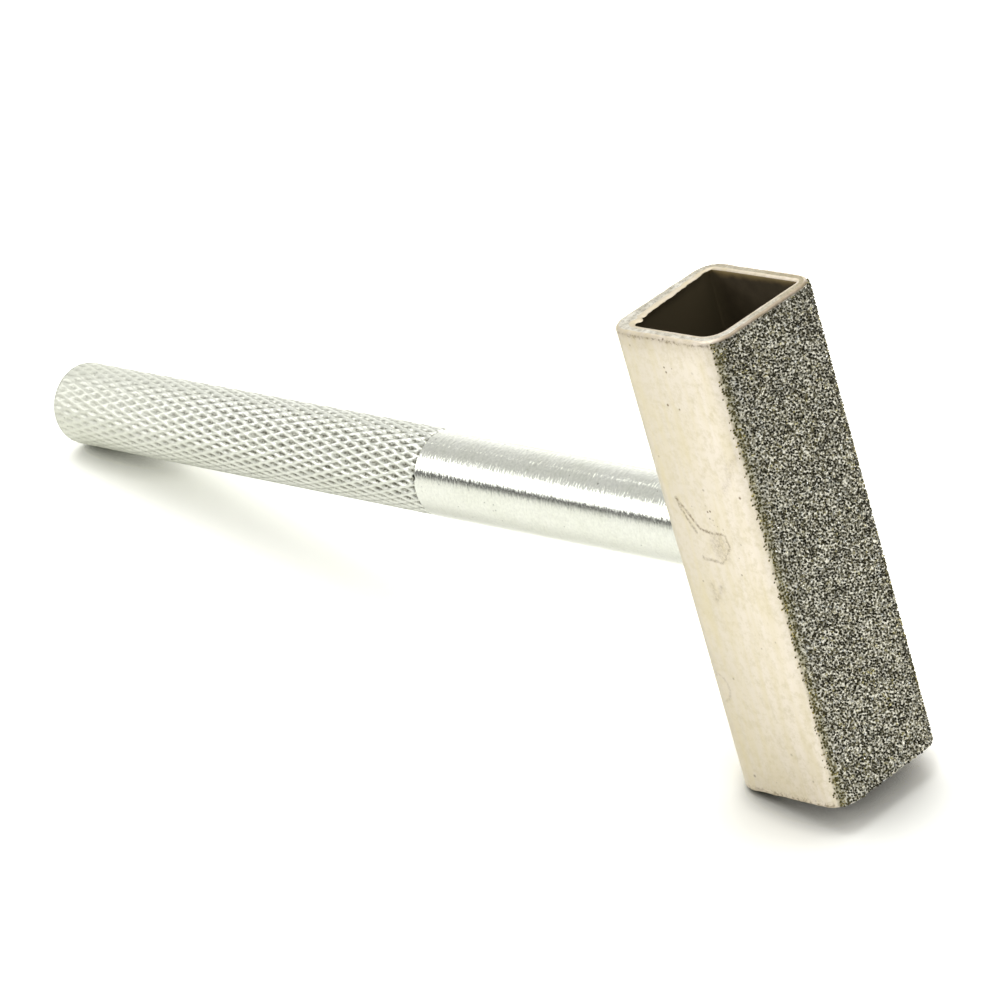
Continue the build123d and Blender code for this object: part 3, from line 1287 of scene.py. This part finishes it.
    def build(self, materials: list[bpy.types.Material]) -> bpy.types.Object:
        """Build the tube with its hole.

        Args:
            materials: Finish of the outside, of the sawn rims and of the inside.

        Returns:
            The tube's object.
        """
        tube = place("head_tube_blank", self.shell(materials))
        drill = bmesh.new()
        across = Matrix.Translation((self.wall / 2, 0, 0)) @ Matrix.Rotation(pi / 2, 4, "Y")
        bmesh.ops.create_cone(
            drill, cap_ends=True, segments=64, radius1=self.hole_radius, radius2=self.hole_radius,
            depth=2 * self.wall, matrix=across,
        )
        cutter = place("drill", bpy.data.meshes.new("drill"))
        write_mesh(drill, cutter.data)
        cut = tube.modifiers.new("Tenon hole", "BOOLEAN")
        cut.operation, cut.solver, cut.object = "DIFFERENCE", "EXACT", cutter
        data = evaluated_mesh(tube, "head_tube")
        bpy.data.objects.remove(cutter)
        data.set_sharp_from_angle(angle=radians(50))
        return self.tool.lay("head_tube_nickel", data)


@dataclass
class GritLayer:
    """The working layer: diamond grains in a skin of electroplated nickel.

    Attributes:
        tool: The tool's frame. Sizes are in millimetres where nothing else is said.
        tube: The tube that carries the layer.
        thickness: Thickness of the layer with its grains.
        bond_height: Thickness of the nickel.
        bond_start: Place along the tool where the nickel starts on the corners.
        bond_wander: Widths of the coarse and the fine waves of its edge there.
        seat_height: Height of the grains' middles above the tube.
        edge_height: Their height at the layer's edge.
        edge_start: Place along the tool where the first grains lie.
        edge_full: Place where they cover all of the surface.
        edge_wander: Widths of the coarse and the fine waves of their edge.
        grain: Usual size of a grain.
        spacing: Least distance between the middles of two grains.
        density: Most grains per square millimetre that the scatter tries.
        shape_spread: Share of its size by which a grain is bent out of shape.
        crystal_radius: Radius of a grain, as a share of its size.
        stretch: Least and most share of its size that it has each way.
        edge_grain: Size of the grains at the edge, as a share of the others'.
        facet_spread: Most by which a facet's tone departs from its grain's, on a scale of 1.
        seed: Seed of the scatter.
        z_reach: Half length of the layer along the tube.
        bond_steps: Number of faces of the nickel: along the tube, round a corner and across.
        seat_steps: The same for the surface that the grains are scattered on.
        crystals: Number of sides and rings of each shape of grain: double pyramids, some of them
            cut off at the middle.
    """

    tool: ToolFrame
    tube: SquareTube
    thickness: float = 0.3
    bond_height: float = 0.10
    bond_start: float = 11.98
    bond_wander: tuple[float, float] = (0.14, 0.12)
    seat_height: float = 0.12
    edge_height: float = 0.04
    edge_start: float = 11.6
    edge_full: float = 12.36
    edge_wander: tuple[float, float] = (0.16, 0.12)
    grain: float = 0.30
    spacing: float = 0.205
    density: float = 70.0
    shape_spread: float = 0.11
    crystal_radius: float = 0.46
    stretch: tuple[float, float] = (0.75, 1.12)
    edge_grain: float = 0.55
    facet_spread: float = 0.3
    seed: int = 11
    z_reach: float = 22.3
    bond_steps: tuple[int, int, int] = (150, 10, 16)
    seat_steps: tuple[int, int, int] = (90, 12, 18)
    crystals: tuple[tuple[int, int], ...] = ((4, 2), (5, 2), (4, 3), (6, 2), (5, 3))

    def wall_line(self, start: float, corner_steps: int, front_steps: int) -> list[tuple[float, ...]]:
        """Line across the tube's wall, round its front from side to side.

        Args:
            start: Place along the tool where it starts and ends, on the two corners.
            corner_steps: Number of steps round each corner.
            front_steps: Number of steps along the front wall.

        Returns:
            Points in X and Y, each with the X and Y of the way straight out of the wall, from the
            near side to the far side.
        """
        tube = self.tube
        centre = tube.side - tube.corner
        straight = tube.side / 2 - tube.corner
        first = -acos(min(1.0, (start - centre) / tube.corner))
        near = []
        for i in range(corner_steps + 1):
            angle = first * (1 - i / corner_steps)
            way = cos(angle), sin(angle)
            near.append((centre + tube.corner * way[0], -straight + tube.corner * way[1], *way))
        front = [
            (tube.side, -straight + 2 * straight * i / front_steps, 1.0, 0.0) for i in range(1, front_steps)
        ]
        return near + front + [(x, -y, out_x, -out_y) for x, y, out_x, out_y in reversed(near)]

    def bond(self, material: bpy.types.Material) -> bpy.types.Object:
        """Build the nickel skin as one closed mesh with ragged, feathered edges.

        Args:
            material: Its finish.

        Returns:
            The skin's object.
        """
        mesh = bmesh.new()
        slices, *steps = self.bond_steps
        coarse, fine = self.bond_wander
        rings = []
        for i in range(slices + 1):
            z = -self.z_reach + 2 * self.z_reach * i / slices
            start = self.bond_start
            start += coarse * noise(Vector((3.1, 0.0, z * 0.9))) + fine * noise(Vector((0.0, 7.7, z * 3.0)))
            ends = smooth_step(0.0, 0.25, self.z_reach - abs(z))
            line = self.wall_line(start, *steps)
            ring = []
            for x, y, out_x, out_y in line:
                rise = self.bond_height * smooth_step(start - 0.02, start + 0.5, x) * (0.35 + 0.65 * ends)
                rise *= 1 + 0.3 * noise(Vector((x, y, z)) * 3.0)
                ring.append(mesh.verts.new((x + out_x * rise, y + out_y * rise, z)))
            ring += [mesh.verts.new((x, y, z)) for x, y, *_ in reversed(line[1:-1])]
            rings.append(ring)
        for low, high in zip(rings, rings[1:]):
            bridge(mesh, low, high)
        last = len(line) - 1
        for ring in (rings[0], rings[-1]):
            outer, inner = ring[:last + 1], [ring[0], *ring[:last:-1], ring[last]]
            for corners in zip(outer, outer[1:], inner[1:], inner):
                mesh.faces.new(list(dict.fromkeys(corners)))
        data = bpy.data.meshes.new("grit_bond")
        write_mesh(mesh, data, material)
        data.set_sharp_from_angle(angle=radians(60))
        return self.tool.lay("diamond_layer_bond", data)

    def seat(self) -> bpy.types.Mesh:
        """Make the surface that the grains are scattered on, with how much of it they cover.

        Returns:
            An open mesh in tool millimetres, with the cover from 0 to 1 as an attribute.
        """
        reach = self.z_reach - 0.03
        slices, *steps = self.seat_steps
        line = self.wall_line(self.edge_start, *steps)
        width = len(line)
        low, full = self.edge_start + 0.2, self.edge_full
        coarse, fine = self.edge_wander
        vertices, cover = [], []
        for i in range(slices + 1):
            z = -reach + 2 * reach * i / slices
            wobble = coarse * noise(Vector((1.7, 4.2, z * 0.7))) + fine * noise(Vector((6.1, 2.2, z * 2.4)))
            for x, y, out_x, out_y in line:
                lift = self.edge_height + (self.seat_height - self.edge_height) * smooth_step(low, full, x)
                lift -= 0.06 * smooth_step(0.16, 0.0, reach - abs(z))
                vertices.append((x + out_x * lift, y + out_y * lift, z))
                cover.append(smooth_step(low + wobble, full + wobble, x))
        faces = [
            (a, a + 1, a + width + 1, a + width)
            for i in range(slices) for a in range(i * width, (i + 1) * width - 1)
        ]
        data = bpy.data.meshes.new("grit_seat")
        data.from_pydata(vertices, [], faces)
        data.attributes.new("cover", "FLOAT", "POINT").data.foreach_set("value", cover)
        return data

    def grain_tree(self, node: partial, size: bpy.types.NodeOutputs) -> bpy.types.Node:
        """Scatter crystals over the seat, in millimetres.

        Args:
            node: add_node for the tree.
            size: The tree's inputs.

        Returns:
            The tree's last node.
        """
        cover = node(NAMED, "cover")
        seeded = {"Seed": size["Seed"]}
        scattered = node("GeometryNodeDistributePointsOnFaces", size["Geometry"], {
            "Distance Min": size["Spacing"], "Density Max": size["Density"], "Density Factor": cover,
            **seeded,
        }, distribute_method="POISSON")
        spread = node(JOIN, *[size["Shape Spread"]] * 3)
        inwards = node(VECTOR, spread, -1.0, operation="SCALE")
        shapes = []
        for seed, (sides, rings) in enumerate(self.crystals):
            crystal = node("GeometryNodeMeshUVSphere", sides, rings, self.crystal_radius)
            shift = node(RANDOM, inwards, spread, {"Seed": seed}, data_type="FLOAT_VECTOR")
            shapes.append(node(MOVE, crystal, {"Offset": shift}))
        kind = node(RANDOM, 0, len(shapes) - 1, seeded, data_type="INT")
        turn = node(RANDOM, (0, 0, 0), (2 * pi,) * 3, seeded, data_type="FLOAT_VECTOR")
        least, most = self.stretch
        stretch = node(RANDOM, (least,) * 3, (most,) * 3, seeded, data_type="FLOAT_VECTOR")
        # The grains of the thin edge are small
        smaller = node(RANGE, cover, 0.1, 0.9, self.edge_grain, 1.0)
        grain = node(MATH, smaller, size["Grain Size"], operation="MULTIPLY")
        grains = node("GeometryNodeInstanceOnPoints", scattered, {
            "Instance": node("GeometryNodeGeometryToInstance", shapes), "Pick Instance": True,
            "Instance Index": kind, "Rotation": turn,
            "Scale": node(VECTOR, stretch, grain, operation="SCALE"),
        })
        # Each grain has its own hue and tone, and each of its facets departs a little from the tone; the
        # lightest tones are drawn as painted glints
        tone_name = DiamondGrain.tone_name
        for name, seed in ((DiamondGrain.hue_name, 8), (tone_name, 3)):
            value = node(RANDOM, 0.0, 1.0, {"Seed": seed})
            grains = node(STORE, grains, {"Name": name, "Value": value}, domain="INSTANCE")
        real = node("GeometryNodeRealizeInstances", grains)
        facet = node(RANDOM, -self.facet_spread, self.facet_spread, {"Seed": 5})
        varied = node(MATH, node(NAMED, tone_name), facet, operation="ADD", use_clamp=True)
        faceted = node(STORE, real, {"Name": tone_name, "Value": varied}, domain="FACE")
        flat = node(SMOOTH, faceted, {"Shade Smooth": False})
        return node(DRESS, flat, {"Material": size["Material"]})

    def grains(self, material: bpy.types.Material) -> bpy.types.Object:
        """Scatter the diamond grains.

        Args:
            material: Their finish.

        Returns:
            The grains' object.
        """
        data = run_tree(self.seat(), "Diamond grit", self.grain_tree, {
            "Spacing": self.spacing, "Density": self.density, "Grain Size": self.grain,
            "Shape Spread": self.shape_spread, "Seed": self.seed, "Material": material,
        })
        return self.tool.lay("diamond_layer_grains", data)


@dataclass(frozen=True)
class SoftBox:
    """A soft box that faces the tool, and that the camera doesn't see.

    Attributes:
        name: The lamp's name.
        azimuth: Its direction in degrees, from +X towards +Y.
        elevation: Its height in degrees above the horizon.
        distance: Its distance in metres from the tool.
        size: Its width and height in metres.
        radiance: Brightness of its front, where 1 shows as white.
    """

    name: str
    azimuth: float
    elevation: float
    distance: float
    size: tuple[float, float]
    radiance: float

    def build(self) -> None:
        """Hang the lamp."""
        lamp = bpy.data.lights.new(self.name, "AREA")
        lamp.shape = "RECTANGLE"
        lamp.size, lamp.size_y = self.size
        lamp.energy = self.radiance * pi * self.size[0] * self.size[1]
        a, e = radians(self.azimuth), radians(self.elevation)
        way = Vector((cos(a) * cos(e), sin(a) * cos(e), sin(e)))
        holder = place(self.name, lamp)
        holder.location = way * self.distance
        holder.rotation_mode = "QUATERNION"
        holder.rotation_quaternion = way.to_track_quat("Z", "Y")
        holder.visible_camera = False


@dataclass(frozen=True)
class RoomSide:
    """A side of the room that only the metal sees. Heights go from 0 at the floor to 1 overhead.

    Attributes:
        middle: Its direction in degrees, from +X towards +Y.
        full: Half of its width in degrees, as far as it is full.
        faded: Half of its width in degrees with its soft edges.
        low: Height at which it has its lower grey.
        high: Height at which it has its upper grey.
        lower_grey: Strength of its lower grey.
        upper_grey: Strength of its upper grey.
        end: Height at which it ends.
    """

    middle: float
    full: float
    faded: float
    low: float
    high: float
    lower_grey: float
    upper_grey: float
    end: float = 2.0


@dataclass(frozen=True)
class Studio:
    """White paper sweep under soft boxes.

    Attributes:
        paper_size: Width of the sheet in metres.
        paper_colour: Its colour.
        camera_gain: Gain that shows the open paper to the camera as plain white.
        metal_gain: Gain of the paper close to the tool, as the metal sees it.
        far_gain: Gain of the paper far from the tool.
        back_gain: What the paper behind the tool gains besides.
        back_share: Share of that behind the head.
        contact: Reach in millimetres of the narrow shadow close to what touches the paper.
        umbra: Reach of the wide shadow below the open foot.
        contact_power: Strength of the narrow shadow at the end of the handle and at the foot.
        umbra_power: The same of the wide shadow.
        shadow_samples: Number of rays that each of them is worked out with.
        shadow_azimuth: Direction in degrees that the narrow shadow is turned away from.
        shadow_lean: How far it is turned, as the tangent of the angle.
        handle_end: Place along +X, in metres, where both shadows are weakest.
        foot: Place where they are strongest.
        room_greys: Strength of the room at the floor and from half way up.
        room_colour: Its colour.
        boxes: The soft boxes.
        sides: The open side of the room on the right, the paper backdrop behind the tool, and the
            gap between the floor and the foot of the soft box on the left.
    """

    paper_size: float = 6.0
    paper_colour: str = "F8F8F4"
    camera_gain: float = 1.80
    metal_gain: float = 1.20
    far_gain: float = 0.58
    back_gain: float = 0.62
    back_share: float = 0.36
    contact: float = 2.7
    umbra: float = 14.0
    contact_power: tuple[float, float] = (0.5, 1.9)
    umbra_power: tuple[float, float] = (0.2, 0.72)
    shadow_samples: int = 4
    shadow_azimuth: float = -140.0
    shadow_lean: float = 0.8
    handle_end: float = -0.03
    foot: float = 0.06
    room_greys: tuple[float, float] = (0.38, 0.66)
    room_colour: str = "FFFFFD"
    boxes: tuple[SoftBox, ...] = (
        SoftBox("left_soft_box", -146, 19.2, 1.3, (1.42, 0.39), 1.9),
        SoftBox("top_soft_box", 140, 64, 1.2, (1.1, 1.1), 1.8),
    )
    sides: tuple[RoomSide, ...] = (
        RoomSide(-8, 48, 75, 0.1, 0.8, 0.15, 0.60), RoomSide(120, 42, 62, 0.0, 0.50, 1.42, 0.64),
        RoomSide(-150, 36, 50, 0.0, 0.07, 0.62, 0.10, 0.17),
    )

    def shadow(self, node: partial, x: bpy.types.NodeSocket) -> bpy.types.Node:
        """Add nodes that give the shadow below the tool.

        Args:
            node: add_node for the paper's tree.
            x: The place along +X in metres.

        Returns:
            Node that gives 1 on the open paper and less in the shadow.
        """
        # The narrow shadow leans towards the soft box, so it is deeper on the tool's other side
        a = radians(self.shadow_azimuth)
        towards = node(JOIN, self.shadow_lean * cos(a), self.shadow_lean * sin(a), 1.0)
        leaning = {"Normal": node(VECTOR, towards, operation="NORMALIZE")}
        # The open foot stands over the paper, so a wider shadow lies below it. Both are deeper
        # below the heavy foot than at the end of the handle.
        kinds = (self.contact, self.contact_power, leaning), (self.umbra, self.umbra_power, {})
        layers = []
        for reach, powers, extra in kinds:
            open_sky = node(
                "ShaderNodeAmbientOcclusion", {"Distance": reach * MM, **extra}, samples=self.shadow_samples
            )
            power = node(RANGE, x, self.handle_end, self.foot, *powers)
            layers.append(node(MATH, open_sky.outputs["AO"], power, operation="POWER"))
        return node(MATH, *layers, operation="MULTIPLY")

    def floor(self) -> None:
        """Lay the sheet of paper that the tool lies on."""
        half = self.paper_size / 2
        data = bpy.data.meshes.new("paper")
        corners = [(x * half, y * half, 0) for x, y in ((-1, -1), (1, -1), (1, 1), (-1, 1))]
        data.from_pydata(corners, [], [(0, 1, 2, 3)])
        made = bpy.data.materials.new("Matt white photographic paper")
        node = clear_tree(made)
        rays = node("ShaderNodeLightPath").outputs
        where = node("ShaderNodeTexCoord").outputs["Object"]
        x, y, _ = node(SPLIT, where).outputs
        # The camera sees the open paper as plain white, with the shadow close to the tool
        seen = node(MATH, self.shadow(node, x), self.camera_gain, operation="MULTIPLY")
        # Far from the tool the paper falls out of the light, which the shank shows below its stripe
        away = node(VECTOR, where, operation="LENGTH")
        lit = node(RANGE, away, 0.05, 0.5, self.metal_gain, self.far_gain)
        # Behind the tool it is lighter, which the shank shows along its lower edge
        past = node(RANGE, y, 0.0, 0.03, 0.0, self.back_gain)
        beside = node(RANGE, x, 0.035, 0.055, 1.0, self.back_share)
        behind = node(MATH, past, beside, 1.0, operation="MULTIPLY_ADD")
        mirrored = node(MATH, lit, behind, operation="MULTIPLY")
        gain = node(MIX, rays["Is Glossy Ray"], 1.0, mirrored)
        factor = node(MIX, rays["Is Camera Ray"], gain, seen)
        colour = node(VECTOR, linear_colour(self.paper_colour)[:3], factor, operation="SCALE")
        node("ShaderNodeOutputMaterial", node("ShaderNodeBsdfDiffuse", colour))
        data.materials.append(made)
        place("paper_floor", data)

    def surroundings(self) -> None:
        """Colour the room: white where the camera looks, greys where only the metal looks."""
        world = bpy.data.worlds.new("studio")
        bpy.context.scene.world = world
        node = clear_tree(world)
        way = node("ShaderNodeTexCoord").outputs["Generated"]
        height = node(SPLIT, way).outputs["Z"]
        level = node(VECTOR, node(VECTOR, way, (1, 1, 0), operation="MULTIPLY"), operation="NORMALIZE")
        strength = node(RANGE, height, 0.0, 0.5, *self.room_greys)
        for side in self.sides:
            a = radians(side.middle)
            facing = node(VECTOR, level, (cos(a), sin(a), 0), operation="DOT_PRODUCT")
            edges = cos(radians(side.faded)), cos(radians(side.full))
            beside = node(RANGE, facing, *edges, interpolation_type="SMOOTHSTEP")
            below = node(RANGE, height, side.end, side.end + 0.03, 1.0, 0.0)
            grey = node(RANGE, height, side.low, side.high, side.lower_grey, side.upper_grey)
            strength = node(MIX, node(MATH, beside, below, operation="MULTIPLY"), strength, grey)
        shown = node(MIX, node("ShaderNodeLightPath").outputs["Is Camera Ray"], strength, 1.0)
        node("ShaderNodeOutputWorld", node("ShaderNodeBackground", self.room_colour, shown))

    def build(self) -> None:
        """Set up the paper, the room and the lamps."""
        self.floor()
        self.surroundings()
        for box in self.boxes:
            box.build()
        bpy.context.scene.view_settings.view_transform = "Standard"
        report.info("studio: paper floor, room and %d soft boxes", len(self.boxes))


@dataclass(frozen=True)
class PhotoCamera:
    """Camera that sees the tool as in the photograph.

    Attributes:
        position: Its place in the row frame, in metres.
        right: Direction in the row frame that is right in the picture.
        down: Direction that is down in the picture.
        lens: Focal length in millimetres.
        sensor: Width of the sensor in millimetres.
    """

    position: tuple[float, float, float] = (0.33181, -0.29050, 0.29985)
    right: tuple[float, float, float] = (0.71639, 0.68806, -0.11557)
    down: tuple[float, float, float] = (0.31271, -0.46472, -0.82840)
    lens: float = 209.08
    sensor: float = 36.0

    def build(self) -> None:
        """Set up the camera."""
        data = bpy.data.cameras.new("photo_camera")
        data.lens = self.lens
        data.sensor_width = self.sensor
        data.clip_start = 0.05
        data.clip_end = 20.0
        camera = place("photo_camera", data)
        right = Vector(self.right).normalized()
        back = right.cross(-Vector(self.down).normalized()).normalized()
        turned = Matrix((right, back.cross(right), back)).transposed()
        camera.matrix_world = Matrix.Translation(self.position) @ turned.to_4x4()
        bpy.context.scene.camera = camera


def main() -> None:
    """Build the tool and its studio."""
    logging.basicConfig(level=logging.INFO, format="%(message)s")
    tool = ToolFrame.from_record(frame["record"], SquareTube.side + GritLayer.thickness)
    tube = SquareTube(tool)
    PhotoCamera().build()
    Studio().build()

    handle = KnurledHandle(tool).build(ZincPlating(tool).material())
    declare(handle, Part.HANDLE)

    finishes = [NickelPlating(tool).material(), SawnRim(tool).material(), MillScale(tool).material()]
    declare(tube.build(finishes), Part.TUBE)

    layer = GritLayer(tool, tube)
    declare(layer.bond(BondNickel(tool).material()), Part.LAYER)
    declare(layer.grains(DiamondGrain(tool).material()), Part.LAYER)


if __name__ == "__main__":
    main()
